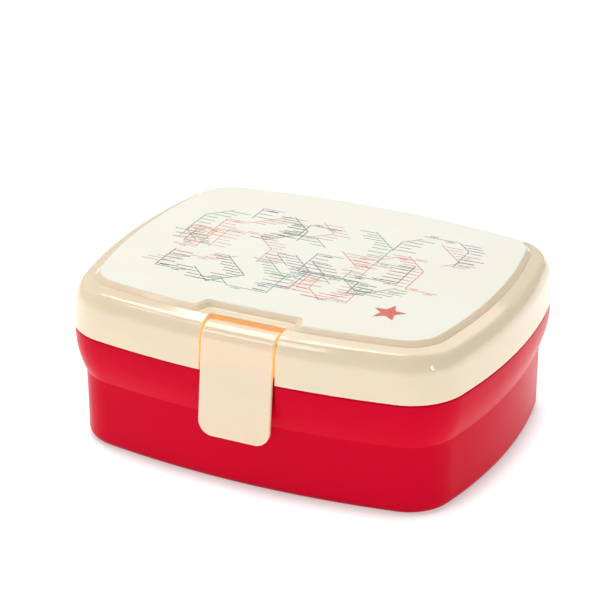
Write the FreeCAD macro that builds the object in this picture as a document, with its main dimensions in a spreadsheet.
"""Lunch box: stepped tub, hinged lid with a raised printed panel, front latch and lift-out tray.

Row frame: millimetres, origin on the table under the middle of the tub, +X along the length,
-Y towards the latch, +Z up. Each sub-part is written to parts/LABEL.step.
"""

import FreeCAD, Part
import math
import os

import Sketcher
from FreeCAD import Vector

DOC = FreeCAD.newDocument("lunch_box")

# Driving dimensions. Each becomes a cell of the sheet, with the name as its alias.
SIZES = {
    # plan outline at the parting line: four shallow arcs joined by four corner arcs
    "length": 175.0,
    "width": 139.6,
    "long_side_radius": 362.0,
    "short_side_radius": 216.0,
    "corner_radius": 24.0,
    # levels
    "crease_height": 29.0,
    "parting_height": 48.6,
    "ledge_height": 68.1,
    "panel_height": 69.9,
    # tub
    "wall": 2.0,
    "lower_wall": 3.6,
    "floor_inset": 4.4,
    "crease_inset": 4.1,
    "band_inset": 0.3,
    "band_top_round": 17.0,
    "floor_round": 3.5,
    "foot_ring": 9.0,
    "foot_recess": 0.8,
    "foot_groove_width": 4.0,
    "tray_ledge": 32.0,
    "rim_inset": 2.5,
    "rim_thickness": 1.7,
    "rim_rise": 3.5,
    "parting_gap": 0.3,
    # lid: its wall leans in to a low bend, then a high bend, then the sloping ledge
    "lid_wall": 2.1,
    "low_bend_inset": 0.9,
    "low_bend_height": 62.6,
    "low_bend_radius": 9.0,
    "high_bend_inset": 4.0,
    "high_bend_height": 66.8,
    "high_bend_radius": 3.6,
    "ledge_end_inset": 8.6,
    "panel_inset": 8.9,
    "panel_corner": 16.0,
    "panel_slope": 1.6,
    "notch_half": 18.5,
    "notch_slope": 2.1,
    "notch_depth": 6.8,
    "label_margin": 1.9,
    "label_film": 0.25,
    # recess and latch
    "latch_place": 0.6,
    "recess_half": 16.0,
    "recess_depth": 11.3,
    "recess_wall": 2.2,
    "recess_floor": 2.0,
    "recess_lip": 2.4,
    "band_pocket_inset": 1.7,
    "band_pocket_foot": 35.0,
    "latch_half": 15.1,
    "latch_thickness": 1.6,
    "latch_foot": 23.6,
    "latch_corner": 6.0,
    "latch_lean": 6.3,
    "latch_roll": 6.2,
    "roll_inset": 6.8,
    "roll_height": 60.9,
    "latch_axis_inset": 4.8,
    "latch_axis_height": 63.0,
    "barrel_radius": 2.7,
    # pins and hinge
    "pin_radius": 1.25,
    "press_gap": 0.02,
    "running_gap": 0.07,
    "hinge_offset": 3.2,
    "hinge_height": 49.1,
    "hinge_spread": 32.0,
    "knuckle_half": 7.0,
    "knuckle_radius": 3.1,
    "ear_thickness": 3.0,
    "ear_gap": 0.3,
    # tray
    "tray_gap": 0.5,
    "tray_wall": 1.4,
    "tray_rise": 17.5,
    "partition_place": 18.0,
}

sheet = DOC.addObject("Spreadsheet::Sheet", "Sizes")
for row, (alias, number) in enumerate(SIZES.items(), start=1):
    sheet.set(f"A{row}", alias)
    sheet.set(f"B{row}", str(number))
    sheet.setAlias(f"B{row}", alias)
DOC.recompute()


def size(alias):
    """A driving dimension, read back from the sheet."""
    return float(sheet.get(alias))


HALF_LENGTH = size("length") / 2
HALF_WIDTH = size("width") / 2
RING_INSET = 20.0  # how far in from the outline the swept rings reach; the middle is padded
MERGE = 0.5  # overlap between a swept ring and the padded middle
SPAN = 2 * size("width")  # longer than any cut needs


# ---------------------------------------------------------------- plan outline


def plan_arcs(half_length, half_width, long_radius, short_radius, corner, inset=0.0):
    """The outline as (centre, radius, from angle, to angle), anticlockwise from the front's middle."""
    long_drop = long_radius - half_width
    short_drop = short_radius - half_length
    # the front-right corner arc touches the front arc and the right arc from inside
    front = Vector(0, long_drop, 0)
    right = Vector(-short_drop, 0, 0)
    to_front = long_radius - corner
    to_right = short_radius - corner
    gap = right - front
    along = (to_front**2 - to_right**2 + gap.Length**2) / (2 * gap.Length)
    across = math.sqrt(to_front**2 - along**2)
    unit = gap / gap.Length
    normal = Vector(-unit.y, unit.x, 0)
    choices = [front + unit * along + normal * s * across for s in (1, -1)]
    centre = max(choices, key=lambda p: p.x - p.y)
    low = math.atan2(centre.y - front.y, centre.x - front.x)
    high = math.atan2(centre.y - right.y, centre.x - right.x)
    turn = math.pi
    arcs = [(front, long_radius, -turn / 2, low), (centre, corner, low, high)]
    arcs += [(right, short_radius, high, -high)]
    arcs += [(Vector(centre.x, -centre.y, 0), corner, -high, -low)]
    arcs += [(Vector(0, -front.y, 0), long_radius, -low, turn + low)]
    arcs += [(Vector(-centre.x, -centre.y, 0), corner, turn + low, turn + high)]
    arcs += [(Vector(-right.x, 0, 0), short_radius, turn + high, turn - high)]
    arcs += [(Vector(-centre.x, centre.y, 0), corner, turn - high, turn - low)]
    arcs += [(front, long_radius, turn - low, 1.5 * turn)]
    return [(c, r - inset, a, b) for c, r, a, b in arcs]


def outline(inset=0.0):
    """The tub's and lid's outline, moved in by inset."""
    return plan_arcs(
        HALF_LENGTH,
        HALF_WIDTH,
        size("long_side_radius"),
        size("short_side_radius"),
        size("corner_radius"),
        inset,
    )


def panel_outline(inset=0.0):
    """The raised panel's outline, whose corners are rounder than an offset of the lid's."""
    side = size("panel_inset")
    return plan_arcs(
        HALF_LENGTH - side,
        HALF_WIDTH - side,
        size("long_side_radius") - side,
        size("short_side_radius") - side,
        size("panel_corner"),
        inset,
    )


def front_y(x, inset=0.0):
    """Where the front of the outline lies at x."""
    radius = size("long_side_radius") - inset
    return size("long_side_radius") - HALF_WIDTH - math.sqrt(radius**2 - x**2)


# ---------------------------------------------------------------- sketch helpers


def new_body(label):
    """A body named after its sub-part."""
    body = DOC.addObject("PartDesign::Body", label)
    body.Label = label
    return body


def plane_of(body, role):
    """One of the body's own origin planes."""
    return next(f for f in body.Origin.OriginFeatures if f.Role == role)


def new_sketch(body, name, role="XY_Plane", lift=0.0):
    """A sketch on an origin plane, lifted along the plane's normal."""
    sketch = body.newObject("Sketcher::SketchObject", name)
    sketch.AttachmentSupport = [(plane_of(body, role), "")]
    sketch.MapMode = "FlatFace"
    sketch.AttachmentOffset = FreeCAD.Placement(Vector(0, 0, lift), FreeCAD.Rotation())
    return sketch


def close_chain(sketch, first, count):
    """Joins each edge's end to the next one's start, back round to the first."""
    for i in range(count):
        here, there = first + i, first + (i + 1) % count
        sketch.addConstraint(Sketcher.Constraint("Coincident", here, 2, there, 1))


def arc_sketch(body, name, arcs, lift=0.0):
    """A sketch of a closed chain of arcs on the XY plane."""
    sketch = new_sketch(body, name, lift=lift)
    for centre, radius, start, end in arcs:
        circle = Part.Circle(centre, Vector(0, 0, 1), radius)
        sketch.addGeometry(Part.ArcOfCircle(circle, start, end))
    close_chain(sketch, 0, len(arcs))
    return sketch


def rounded(points):
    """Edges of a closed polygon whose corners (x, y, radius) are rounded by tangent arcs.

    An edge is its points in order: two for a line, three for an arc.
    """
    count = len(points)
    corners = []
    for i, (x, y, radius) in enumerate(points):
        here = Vector(x, y, 0)
        back = Vector(*points[i - 1][:2], 0) - here
        ahead = Vector(*points[(i + 1) % count][:2], 0) - here
        back.normalize()
        ahead.normalize()
        if radius <= 0:
            corners.append((here, here, None))
            continue
        half = back.getAngle(ahead) / 2
        reach = radius / math.tan(half)
        bisector = back + ahead
        bisector.normalize()
        middle = here + bisector * (radius / math.sin(half) - radius)
        corners.append((here + back * reach, here + ahead * reach, middle))
    edges = []
    for i, (start, end, middle) in enumerate(corners):
        if middle is not None:
            edges.append((start, middle, end))
        following = corners[(i + 1) % count][0]
        if (following - end).Length > 1e-6:
            edges.append((end, following))
    return edges


def anticlockwise(edges):
    """The same closed chain, run anticlockwise."""
    area = sum(e[0].x * e[-1].y - e[-1].x * e[0].y for e in edges)
    return edges if area > 0 else [tuple(reversed(e)) for e in reversed(edges)]


def edge_sketch(body, name, edges, role="XY_Plane", lift=0.0):
    """A sketch holding a closed chain of lines and arcs, run anticlockwise."""
    sketch = new_sketch(body, name, role, lift)
    ends = []
    for points in anticlockwise(edges):
        if len(points) == 2:
            sketch.addGeometry(Part.LineSegment(*points))
            ends.append((1, 2))
            continue
        start, middle, end = points
        circle = Part.Arc(start, middle, end).toShape().Curve
        turns_left = (middle - start).cross(end - middle).z > 0
        first, last = (start, end) if turns_left else (end, start)
        angles = [math.atan2(p.y - circle.Center.y, p.x - circle.Center.x) for p in (first, last)]
        if angles[1] < angles[0]:
            angles[1] += 2 * math.pi
        whole = Part.Circle(circle.Center, Vector(0, 0, 1), circle.Radius)
        sketch.addGeometry(Part.ArcOfCircle(whole, *angles))
        ends.append((1, 2) if turns_left else (2, 1))
    for i, (_, leaving) in enumerate(ends):
        following = (i + 1) % len(ends)
        arriving = ends[following][0]
        sketch.addConstraint(Sketcher.Constraint("Coincident", i, leaving, following, arriving))
    return sketch


def polygon_sketch(body, name, points, role="XY_Plane", lift=0.0):
    """A sketch of a polygon with rounded corners."""
    return edge_sketch(body, name, rounded(points), role, lift)


def circle_sketch(body, name, across, up, radius, role="YZ_Plane", lift=0.0, cell=None):
    """A sketch of one circle, its radius bound to the sheet where cell names an expression."""
    sketch = new_sketch(body, name, role, lift)
    sketch.addGeometry(Part.Circle(Vector(across, up, 0), Vector(0, 0, 1), radius))
    index = sketch.addConstraint(Sketcher.Constraint("Radius", 0, radius))
    if cell:
        sketch.setExpression(f"Constraints[{index}]", cell)
    return sketch


def pad(body, sketch, length, cell=None, middle=False, reverse=False):
    """Pads a sketch; cell is the sheet expression that the length is bound to."""
    feature = body.newObject("PartDesign::Pad", sketch.Name + "_pad")
    feature.Profile = sketch
    feature.Length = length
    feature.SideType = "Symmetric" if middle else "One side"
    feature.Reversed = reverse
    if cell:
        feature.setExpression("Length", cell)
    DOC.recompute()
    return feature


def pocket(body, sketch, length, cell=None, middle=False, reverse=False):
    """Cuts a sketch, and stops if nothing was cut."""
    before = body.Shape.Volume
    feature = body.newObject("PartDesign::Pocket", sketch.Name + "_cut")
    feature.Profile = sketch
    feature.Length = length
    feature.SideType = "Symmetric" if middle else "One side"
    feature.Reversed = reverse
    if cell:
        feature.setExpression("Length", cell)
    DOC.recompute()
    if not body.Shape.Volume < before - 1e-3:
        raise RuntimeError(f"{feature.Name} cut nothing")
    return feature


def ring(body, name, section, cut=False):
    """Sweeps a section, given as rounded corners (inset, height, radius), round the outline."""
    spine = arc_sketch(body, name + "_path", outline())
    points = [(-HALF_WIDTH + inset, height, radius) for inset, height, radius in section]
    profile = polygon_sketch(body, name + "_section", points, "YZ_Plane")
    kind = "PartDesign::SubtractivePipe" if cut else "PartDesign::AdditivePipe"
    feature = body.newObject(kind, name)
    feature.Profile = profile
    feature.Spine = spine
    DOC.recompute()
    return feature


def edges_where(shape, test):
    """Names of the edges that pass a test."""
    return [f"Edge{i}" for i, edge in enumerate(shape.Edges, start=1) if test(edge)]


def fillet(body, radius, test, cell=None):
    """Rounds the edges of the body that pass a test."""
    base = body.Tip
    names = edges_where(base.Shape, test)
    if not names:
        raise RuntimeError(f"no edge to round on {body.Label}")
    feature = body.newObject("PartDesign::Fillet", f"{body.Label}_round")
    feature.Base = (base, names)
    feature.Radius = radius
    if cell:
        feature.setExpression("Radius", cell)
    DOC.recompute()
    return feature


def span(edge, axis):
    """An edge's lowest and highest coordinate along x, y or z."""
    box = edge.BoundBox
    return getattr(box, axis.upper() + "Min"), getattr(box, axis.upper() + "Max")


# ---------------------------------------------------------------- tub


def band_arc_points():
    """The flare between the crease and the parting line: an arc that ends upright at its top."""
    low = Vector(size("crease_inset"), size("crease_height"), 0)
    high = Vector(size("band_inset"), size("crease_height") + size("band_top_round"), 0)
    run, rise = low.x - high.x, high.y - low.y
    radius = (run**2 + rise**2) / (2 * run)
    turn = math.asin(rise / radius)
    middle = Vector(
        high.x + radius * (1 - math.cos(turn / 2)), high.y - radius * math.sin(turn / 2), 0
    )
    return low, middle, high


def tub_outer(body):
    """The tub's outer form as one solid, up to the top of the inner rim."""
    low, middle, high = band_arc_points()
    parting = size("parting_height") - size("parting_gap")
    rim_top = size("parting_height") + size("rim_rise")
    shift = Vector(-HALF_WIDTH, 0, 0)
    foot = rounded(
        [
            (RING_INSET, rim_top, 0),
            (RING_INSET, 0, 0),
            (size("floor_inset"), 0, size("floor_round")),
            (low.x, low.y, 0),
        ]
    )[:-1]
    rest = [(low, middle, high)]
    corners = [
        (high.x, high.y),
        (high.x, parting - 0.6),
        (high.x + 0.6, parting),
        (size("rim_inset"), parting),
        (size("rim_inset"), rim_top - 0.5),
        (size("rim_inset") + 0.5, rim_top),
        (RING_INSET, rim_top),
    ]
    for start, end in zip(corners, corners[1:]):
        rest.append((Vector(*start, 0), Vector(*end, 0)))
    section = [tuple(point + shift for point in edge) for edge in foot + rest]
    spine = arc_sketch(body, "tub_outer_path", outline())
    profile = edge_sketch(body, "tub_outer_section", section, "YZ_Plane")
    sweep = body.newObject("PartDesign::AdditivePipe", "tub_outer")
    sweep.Profile = profile
    sweep.Spine = spine
    DOC.recompute()
    middle_sketch = arc_sketch(body, "tub_middle", outline(RING_INSET - MERGE))
    pad(body, middle_sketch, rim_top, "Sizes.parting_height + Sizes.rim_rise")


def tub_cavity(body):
    """Hollows the tub, leaving the ledge that the tray stands on."""
    wall, side = size("wall"), size("lower_wall")
    top = size("parting_height") + size("rim_rise")
    upper = size("rim_inset") + size("rim_thickness")
    ledge = size("tray_ledge")
    section = [
        (RING_INSET, top + 1, 0),
        (RING_INSET, wall, 0),
        (size("floor_inset") + side, wall, size("floor_round")),
        (size("crease_inset") + side, ledge, 0.5),
        (upper + 1.0, ledge, 0.5),
        (upper, ledge + 5, 1.5),
        (upper, top + 1, 0),
    ]
    ring(body, "tub_cavity", section, cut=True)
    middle = arc_sketch(body, "tub_cavity_middle", outline(RING_INSET - MERGE), top + 1)
    pocket(body, middle, top + 1 - wall)


def tub_foot(body):
    """The shallow groove under the floor, round the flat middle that the box stands on."""
    start = size("floor_inset") + size("foot_ring")
    groove = arc_sketch(body, "foot_groove", outline(start))
    pocket(body, groove, size("foot_recess"), "Sizes.foot_recess", reverse=True)
    middle = arc_sketch(body, "foot_middle", outline(start + size("foot_groove_width")))
    pad(body, middle, size("foot_recess") + MERGE)


def hinge_centre():
    """The hinge line's y and z."""
    return HALF_WIDTH + size("hinge_offset"), size("hinge_height")


def hinge_ears(body):
    """Two pairs of ears on the tub's back, with the stop bar between each pair."""
    y, z = hinge_centre()
    radius = size("knuckle_radius")
    reach = size("knuckle_half") + size("ear_gap")
    ear = size("ear_thickness")
    wall_y = HALF_WIDTH - size("wall")
    shape = [
        (wall_y, z - 13.5, 0),
        (y - 1.0, z - 9.5, 1.5),
        (y + radius, z - 3.5, 2.5),
        (y + radius, z + radius, radius * 0.98),
        (y - radius, z + radius, radius * 0.98),
        (y - radius, z - 1.5, 0.8),
        (wall_y, z - 1.5, 0),
    ]
    stop = [
        (wall_y, z - 11.0, 0),
        (y - 0.4, z - 8.0, 1.0),
        (y + 0.6, z - 4.42, 0.5),
        (wall_y, z - 4.42, 0),
    ]
    for side in (-1, 1):
        middle = side * size("hinge_spread")
        for end in (-1, 1):
            start = middle + end * (reach + ear / 2) - ear / 2
            tag = f"{'left' if side < 0 else 'right'}_{'inner' if side * end < 0 else 'outer'}"
            sketch = polygon_sketch(body, f"ear_{tag}", shape, "YZ_Plane", start)
            pad(body, sketch, ear, "Sizes.ear_thickness")
        name = f"stop_{'left' if side < 0 else 'right'}"
        sketch = polygon_sketch(body, name, stop, "YZ_Plane", middle - reach - MERGE)
        pad(body, sketch, 2 * (reach + MERGE))
        bore = circle_sketch(
            body,
            f"ear_bore_{'left' if side < 0 else 'right'}",
            y,
            z,
            size("pin_radius") + size("press_gap"),
            lift=middle,
            cell="Sizes.pin_radius + Sizes.press_gap",
        )
        pocket(body, bore, 2 * (reach + ear) + 2, middle=True)


def band_pocket(body):
    """The flat-backed pocket in the band that the latch lies in."""
    half, place = size("recess_half"), size("latch_place")
    back = -HALF_WIDTH + size("band_pocket_inset")
    foot, top = size("band_pocket_foot"), size("parting_height")
    points = [
        (place - half, back - SPAN / 2, 0),
        (place + half, back - SPAN / 2, 0),
        (place + half, back, 0.8),
        (place - half, back, 0.8),
    ]
    pocket(body, polygon_sketch(body, "band_pocket", points, lift=top), top - foot)


def latch_catch(body):
    """The ridge across the pocket's back that the latch's hook closes under."""
    y = -HALF_WIDTH + size("band_pocket_inset")
    points = [
        (y + 1.0, 45.0, 0),
        (y, 45.0, 0),
        (y - 0.45, 43.6, 0.3),
        (y - 0.45, 42.4, 0.3),
        (y, 41.6, 0),
        (y + 1.0, 41.6, 0),
    ]
    sketch = polygon_sketch(body, "catch", points, "YZ_Plane", size("latch_place"))
    pad(body, sketch, 24.0, middle=True)


def build_tub():
    body = new_body("base_shell")
    tub_outer(body)
    tub_cavity(body)
    tub_foot(body)
    hinge_ears(body)
    band_pocket(body)
    latch_catch(body)
    return body


# ---------------------------------------------------------------- lid


def lid_outer(body):
    """Leaning wall, two soft bends and the ledge."""
    bottom, ledge = size("parting_height"), size("ledge_height")
    section = [
        (RING_INSET, bottom, 0),
        (0.0, bottom, 0.3),
        (size("low_bend_inset"), size("low_bend_height"), size("low_bend_radius")),
        (size("high_bend_inset"), size("high_bend_height"), size("high_bend_radius")),
        (size("ledge_end_inset"), ledge, 0),
        (RING_INSET, ledge, 0),
    ]
    ring(body, "lid_outer", section)
    middle = arc_sketch(body, "lid_middle", outline(RING_INSET - MERGE), bottom)
    pad(body, middle, ledge - bottom, "Sizes.ledge_height - Sizes.parting_height")


def notch_points(grow=0.0):
    """The panel's notch round the latch recess, as corners (x, y, radius)."""
    half, slope = size("notch_half"), size("notch_slope")
    depth = -HALF_WIDTH + size("panel_inset") + size("notch_depth") + grow
    front = -HALF_WIDTH + size("panel_inset") - 6.0
    wide = half + slope + grow
    run = slope * (depth - front) / size("notch_depth")
    return [
        (wide - slope + run, front, 0),
        (wide - slope, depth, 2.5),
        (-wide + slope, depth, 2.5),
        (-wide + slope - run, front, 0),
    ]


def lid_panel(body):
    """The raised panel, with its notch round the latch and its rounded edge."""
    ledge, top = size("ledge_height"), size("panel_height")
    sketch = arc_sketch(body, "panel", panel_outline(), ledge - MERGE)
    pad(body, sketch, top - ledge + MERGE)
    notch = polygon_sketch(body, "panel_notch", notch_points(), lift=top + 1)
    pocket(body, notch, top + 1 - ledge)
    corner = size("notch_half") + size("notch_slope")

    def notch_mouth(edge):
        low, high = span(edge, "z")
        x, y = abs(edge.CenterOfMass.x), edge.CenterOfMass.y
        upright = high - low > 1.5 and edge.BoundBox.XLength < 0.1
        return upright and abs(x - corner) < 3 and y < -HALF_WIDTH / 2

    fillet(body, 3.0, notch_mouth)

    def panel_top(edge):
        low, high = span(edge, "z")
        return low > top - 0.01 and high < top + 0.01

    base = body.Tip
    slope = body.newObject("PartDesign::Chamfer", "panel_slope")
    slope.Base = (base, edges_where(base.Shape, panel_top))
    slope.Size = size("panel_slope")
    slope.setExpression("Size", "Sizes.panel_slope")
    DOC.recompute()


def mitre(wall, before, corner, after):
    """The corner of a line that runs a wall's thickness inside two outer lines."""

    def inward(start, end):
        along = Vector(end[0] - start[0], end[1] - start[1], 0).normalize()
        return Vector(along.y, -along.x, 0)

    first, second = inward(before, corner), inward(corner, after)
    shift = (first + second) * (wall / (1 + first.dot(second)))
    return corner[0] + shift.x, corner[1] + shift.y


def lid_cavity(body):
    """Hollows the lid, under the ledge and then further up under the panel."""
    wall, bottom = size("lid_wall"), size("parting_height")
    under = size("ledge_height") - wall
    low = (size("low_bend_inset"), size("low_bend_height"))
    high = (size("high_bend_inset"), size("high_bend_height"))
    end = (size("ledge_end_inset"), size("ledge_height"))
    bends = [mitre(wall, (0.0, bottom), low, high), mitre(wall, low, high, end)]
    section = [
        (RING_INSET, bottom - 1, 0),
        (wall, bottom - 1, 0),
        (*bends[0], size("low_bend_radius") - wall),
        (*bends[1], size("high_bend_radius") - wall),
        (end[0], under, 0),
        (RING_INSET, under, 0),
    ]
    ring(body, "lid_cavity", section, cut=True)
    middle = arc_sketch(body, "lid_cavity_middle", outline(RING_INSET - MERGE), bottom - 1)
    pocket(body, middle, under - bottom + 1, reverse=True)
    deeper = arc_sketch(body, "panel_underside", panel_outline(9.0), under - 0.1)
    pocket(body, deeper, size("panel_height") - wall - under + 0.1, reverse=True)


def recess_profile():
    """The recess housing seen from the side: inside the lid's skin, down to the tub's rim."""
    face = -HALF_WIDTH + 1.8
    top = size("ledge_height") - 1.1
    back = -HALF_WIDTH + size("recess_depth") + size("recess_wall")
    foot = size("parting_height") + size("rim_rise") + 0.7
    return [
        (face, foot, 0),
        (back, foot, 0.6),
        (back, top, 0),
        (face + 4.8, top, 0),
        (face, top - 5.0, 0),
    ]


def latch_recess(body):
    """The channel that the latch lies in, its housing inside the lid, and the pin's bores."""
    half, wall, place = size("recess_half"), size("recess_wall"), size("latch_place")
    housing = polygon_sketch(body, "recess_housing", recess_profile(), "YZ_Plane", place)
    pad(body, housing, 2 * (half + wall), "2 * (Sizes.recess_half + Sizes.recess_wall)", middle=True)
    back = -HALF_WIDTH + size("recess_depth")
    lip = -HALF_WIDTH + size("recess_lip")
    skin = -HALF_WIDTH + size("lid_wall") + 0.5
    foot = size("parting_height") + size("rim_rise") + 0.7
    floor = foot + size("recess_floor")
    above, below = size("panel_height") + 5, size("parting_height") - 1
    # from the ledge down to the recess floor, then the floor's front lip, then the skin under it
    cuts = {
        "recess_channel": (back, 1.5, above, floor),
        "recess_lip": (lip, 0, floor + 1, foot - 1),
        "recess_mouth": (skin, 0, foot, below),
    }
    for name, (reach, corner, high, low) in cuts.items():
        points = [(place - half, -SPAN / 2, 0), (place + half, -SPAN / 2, 0)]
        points += [(place + half, reach, corner), (place - half, reach, corner)]
        pocket(body, polygon_sketch(body, name, points, lift=high), high - low)
    y, z = latch_axis()
    bore = circle_sketch(
        body,
        "latch_bore",
        y,
        z,
        size("pin_radius") + size("press_gap"),
        lift=place,
        cell="Sizes.pin_radius + Sizes.press_gap",
    )
    pocket(body, bore, 2 * (half + wall) + 1, middle=True)


def recess_rounding(body):
    """Softens the recess's mouth where it breaks the ledge."""
    half, ledge, near = size("recess_half"), size("ledge_height"), 0.05

    def mouth(edge):
        low, high = span(edge, "z")
        level = abs(low - ledge) < near and abs(high - ledge) < near
        inside = edge.CenterOfMass.y < -HALF_WIDTH + size("recess_depth") + near
        return level and inside and abs(edge.CenterOfMass.x - size("latch_place")) < half + near

    fillet(body, 0.7, mouth)


def lid_knuckles(body):
    """The two hinge knuckles on the lid's back wall, each with its stop heel."""
    y, z = hinge_centre()
    radius, half = size("knuckle_radius"), size("knuckle_half")
    wall_y = HALF_WIDTH - 2.0
    shape = [
        (wall_y, z + 0.4, 0),
        (y - radius, z + 0.4, 0.3),
        (y - radius, z - radius, radius * 0.98),
        (y + radius, z - radius, radius * 0.98),
        (y + radius, z - 1.1, 0),
        (y + 4.2, z - 1.1, 0.3),
        (y + 4.2, z + 1.1, 0.3),
        (y + radius, z + 1.1, 0),
        (y + radius, z + radius, radius * 0.9),
        (wall_y, z + 8.0, 0),
    ]
    for side in (-1, 1):
        name = "left" if side < 0 else "right"
        middle = side * size("hinge_spread")
        sketch = polygon_sketch(body, f"knuckle_{name}", shape, "YZ_Plane", middle)
        pad(body, sketch, 2 * half, "2 * Sizes.knuckle_half", middle=True)
        bore = circle_sketch(
            body,
            f"knuckle_bore_{name}",
            y,
            z,
            size("pin_radius") + size("running_gap"),
            lift=middle,
            cell="Sizes.pin_radius + Sizes.running_gap",
        )
        pocket(body, bore, 2 * half + 1, middle=True)


def build_lid():
    body = new_body("lid_shell")
    lid_outer(body)
    lid_panel(body)
    lid_cavity(body)
    latch_recess(body)
    recess_rounding(body)
    lid_knuckles(body)
    return body


def build_label():
    """The printed film on the raised panel."""
    body = new_body("lid_label")
    margin, top = size("label_margin"), size("panel_height")
    film = arc_sketch(body, "film", panel_outline(margin), top)
    pad(body, film, size("label_film"), "Sizes.label_film")
    notch = polygon_sketch(body, "film_notch", notch_points(margin), lift=top + 1)
    pocket(body, notch, 2.0)
    corner = size("notch_half") + size("notch_slope") + margin

    def mouth(edge):
        low, high = span(edge, "z")
        upright = high - low > size("label_film") / 2 and edge.BoundBox.XLength < 0.05
        return upright and abs(abs(edge.CenterOfMass.x) - corner) < 4 and edge.CenterOfMass.y < -30

    fillet(body, 1.2, mouth)
    return body


# ---------------------------------------------------------------- latch


def latch_axis():
    """The latch pin's y and z."""
    return -HALF_WIDTH + size("latch_axis_inset"), size("latch_axis_height")


def roll_point(radius, angle):
    """A point of the latch's rolled top, by its radius and its angle in degrees from +Y."""
    turn = math.radians(angle)
    y, z = -HALF_WIDTH + size("roll_inset"), size("roll_height")
    return Vector(y + radius * math.cos(turn), z + radius * math.sin(turn), 0)


def plate_point(radius, height):
    """A point of the leaning plate's front or back, at a height."""
    lean = size("latch_lean")
    start = roll_point(radius, 180 - lean)
    return Vector(start.x - (start.y - height) * math.tan(math.radians(lean)), height, 0)


def latch_skin(body):
    """The latch's plate: it leans outwards in front and rolls back over the pin."""
    outer = size("latch_roll")
    inner = outer - size("latch_thickness")
    front, end, foot = 180 - size("latch_lean"), 72, size("latch_foot")
    middle = (front + end) / 2
    edges = [
        (plate_point(outer, foot), roll_point(outer, front)),
        (roll_point(outer, front), roll_point(outer, middle), roll_point(outer, end)),
        (roll_point(outer, end), roll_point(inner, end)),
        (roll_point(inner, end), roll_point(inner, middle), roll_point(inner, front)),
        (roll_point(inner, front), plate_point(inner, foot)),
        (plate_point(inner, foot), plate_point(outer, foot)),
    ]
    sketch = edge_sketch(body, "latch_skin", edges, "YZ_Plane", size("latch_place"))
    pad(body, sketch, 2 * size("latch_half"), "2 * Sizes.latch_half", middle=True)


def latch_barrel(body):
    """The barrel round the pin, the two ribs that tie it to the plate, and its bore."""
    y, z = latch_axis()
    place, half = size("latch_place"), size("latch_half")
    barrel = circle_sketch(body, "latch_barrel", y, z, size("barrel_radius"), lift=place)
    pad(body, barrel, 2 * half, "2 * Sizes.latch_half", middle=True)
    skin = size("latch_roll") - size("latch_thickness") / 2
    rib = [
        (y + 1.0, z - 2.2, 0),
        (y + 1.6, z + 1.0, 0),
        (roll_point(skin, 100).x, roll_point(skin, 100).y, 0),
        (roll_point(skin, 178).x, roll_point(skin, 178).y, 0),
        (plate_point(skin, z - 9.0).x, z - 9.0, 0),
    ]
    for side in (-1, 1):
        tag = "left" if side < 0 else "right"
        middle = place + side * (half - size("latch_thickness") / 2)
        sketch = polygon_sketch(body, f"latch_cheek_{tag}", rib, "YZ_Plane", middle)
        pad(body, sketch, size("latch_thickness"), "Sizes.latch_thickness", middle=True)
    bore = circle_sketch(
        body,
        "latch_barrel_bore",
        y,
        z,
        size("pin_radius") + size("running_gap"),
        lift=place,
        cell="Sizes.pin_radius + Sizes.running_gap",
    )
    pocket(body, bore, 3 * half, middle=True)


def latch_hook(body):
    """The hook rib across the back of the plate."""
    inner = size("latch_roll") - size("latch_thickness")
    tip = -HALF_WIDTH + size("band_pocket_inset") - 0.85
    hook = [
        (plate_point(inner, 38.0).x - 0.6, 38.0, 0),
        (tip, 39.4, 0.2),
        (tip, 40.6, 0.2),
        (plate_point(inner, 41.0).x - 0.6, 41.0, 0),
    ]
    sketch = polygon_sketch(body, "hook", hook, "YZ_Plane", size("latch_place"))
    pad(body, sketch, 22.0, middle=True)


def latch_rounding(body):
    """Rounds the plate's lower corners, then its outer edges."""
    foot, half, place = size("latch_foot"), size("latch_half"), size("latch_place")
    outer = size("latch_roll")
    plate_top = roll_point(outer, 180 - size("latch_lean")).y

    def lower_corner(edge):
        low, high = span(edge, "z")
        return high < foot + 0.3 and edge.BoundBox.YLength > 1 and edge.BoundBox.XLength < 0.01

    fillet(body, size("latch_corner"), lower_corner, "Sizes.latch_corner")

    def front_rim(edge):
        box, middle = edge.BoundBox, edge.CenterOfMass
        across = abs(abs(middle.x - place) - half)
        if box.ZMax < plate_top + 0.01:
            on_face = abs(middle.y - plate_point(outer, middle.z).x) < 0.05
            return on_face and (box.XLength < 2 * half - 1)
        centre = roll_point(0, 0)
        rise = math.hypot(middle.y - centre.x, middle.z - centre.y)
        return across < 0.01 and box.XLength < 0.01 and rise > outer - 1.3 and box.ZLength > 3

    fillet(body, 0.5, front_rim)


def build_latch():
    body = new_body("front_latch")
    latch_skin(body)
    latch_barrel(body)
    latch_hook(body)
    latch_rounding(body)
    return body


# ---------------------------------------------------------------- pins and tray


def build_pin(label, middle, y, z, half_length):
    """A plain steel pin with chamfered ends, lying along X."""
    body = new_body(label)
    sketch = circle_sketch(
        body, f"{label}_circle", y, z, size("pin_radius"), lift=middle, cell="Sizes.pin_radius"
    )
    pad(body, sketch, 2 * half_length, middle=True)
    base = body.Tip
    feature = body.newObject("PartDesign::Chamfer", f"{label}_ends")
    feature.Base = (base, edges_where(base.Shape, lambda e: e.BoundBox.XLength < 0.01))
    feature.Size = 0.3
    DOC.recompute()
    return body


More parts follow.
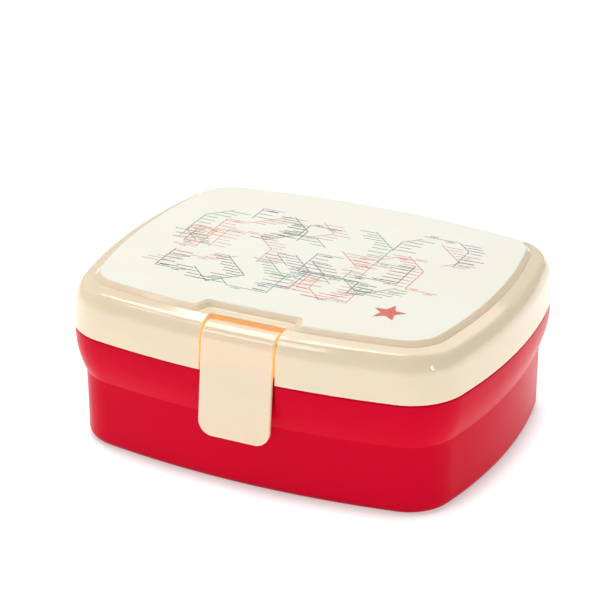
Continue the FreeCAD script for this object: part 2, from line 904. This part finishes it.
def build_tray():
    """The lift-out tray that stands on the tub's ledge, with one cross wall."""
    body = new_body("inner_tray")
    ledge = size("tray_ledge")
    side = size("rim_inset") + size("rim_thickness") + 1.0 + size("tray_gap")
    rise, wall = size("tray_rise"), size("tray_wall")
    outer = [
        (RING_INSET, ledge + 0.05, 0),
        (side + 0.6, ledge + 0.05, 0.6),
        (side, ledge + rise, 0.6),
        (RING_INSET, ledge + rise, 0),
    ]
    ring(body, "tray_outer", outer)
    middle = arc_sketch(body, "tray_middle", outline(RING_INSET - MERGE), ledge + 0.05)
    pad(body, middle, rise - 0.05)
    inner = [
        (RING_INSET, ledge + rise + 1, 0),
        (RING_INSET, ledge + wall, 0),
        (side + 0.6 + wall, ledge + wall, 3.0),
        (side + wall, ledge + rise + 1, 0),
    ]
    ring(body, "tray_cavity", inner, cut=True)
    hollow = arc_sketch(body, "tray_hollow", outline(RING_INSET - MERGE), ledge + rise + 1)
    pocket(body, hollow, rise + 1 - wall)
    place = size("partition_place")
    reach = HALF_WIDTH - side - wall + 0.5
    cross = [(-reach, ledge + 0.5, 0), (reach, ledge + 0.5, 0)]
    cross += [(reach, ledge + rise - 3, 1.0), (-reach, ledge + rise - 3, 1.0)]
    sketch = polygon_sketch(body, "tray_partition", cross, "YZ_Plane", place - wall / 2)
    pad(body, sketch, wall, "Sizes.tray_wall")
    # a finger scallop through each short wall
    for end in (-1, 1):
        name = f"scallop_{'left' if end < 0 else 'right'}"
        scallop = circle_sketch(body, name, 0, ledge + rise + 4, 11.0, lift=end * (HALF_LENGTH - 6))
        pocket(body, scallop, 12.0, middle=True)
    return body


# ---------------------------------------------------------------- build and write


def main():
    hinge_y, hinge_z = hinge_centre()
    latch_y, latch_z = latch_axis()
    hinge_half = size("knuckle_half") + size("ear_gap") + size("ear_thickness")
    spread = size("hinge_spread")
    latch_half = size("recess_half") + size("recess_wall") - 0.2
    bodies = [
        build_tub(),
        build_lid(),
        build_label(),
        build_latch(),
        build_pin("latch_pin", size("latch_place"), latch_y, latch_z, latch_half),
        build_pin("hinge_pin_left", -spread, hinge_y, hinge_z, hinge_half),
        build_pin("hinge_pin_right", spread, hinge_y, hinge_z, hinge_half),
        build_tray(),
    ]
    DOC.recompute()
    failed = [o.Name for o in DOC.Objects if {"Invalid", "Error"} & set(o.State)]
    if failed:
        raise RuntimeError(f"failed objects: {failed}")
    for body in bodies:
        shape = body.Shape
        if shape.isNull() or not shape.isValid():
            raise RuntimeError(f"{body.Label} has no valid shape")
        print(f"{body.Label}: {len(shape.Solids)} solid, {shape.Volume / 1000:.2f} cm3")
    os.makedirs("parts", exist_ok=True)
    for body in bodies:
        body.Shape.exportStep(f"parts/{body.Label}.step")


main()
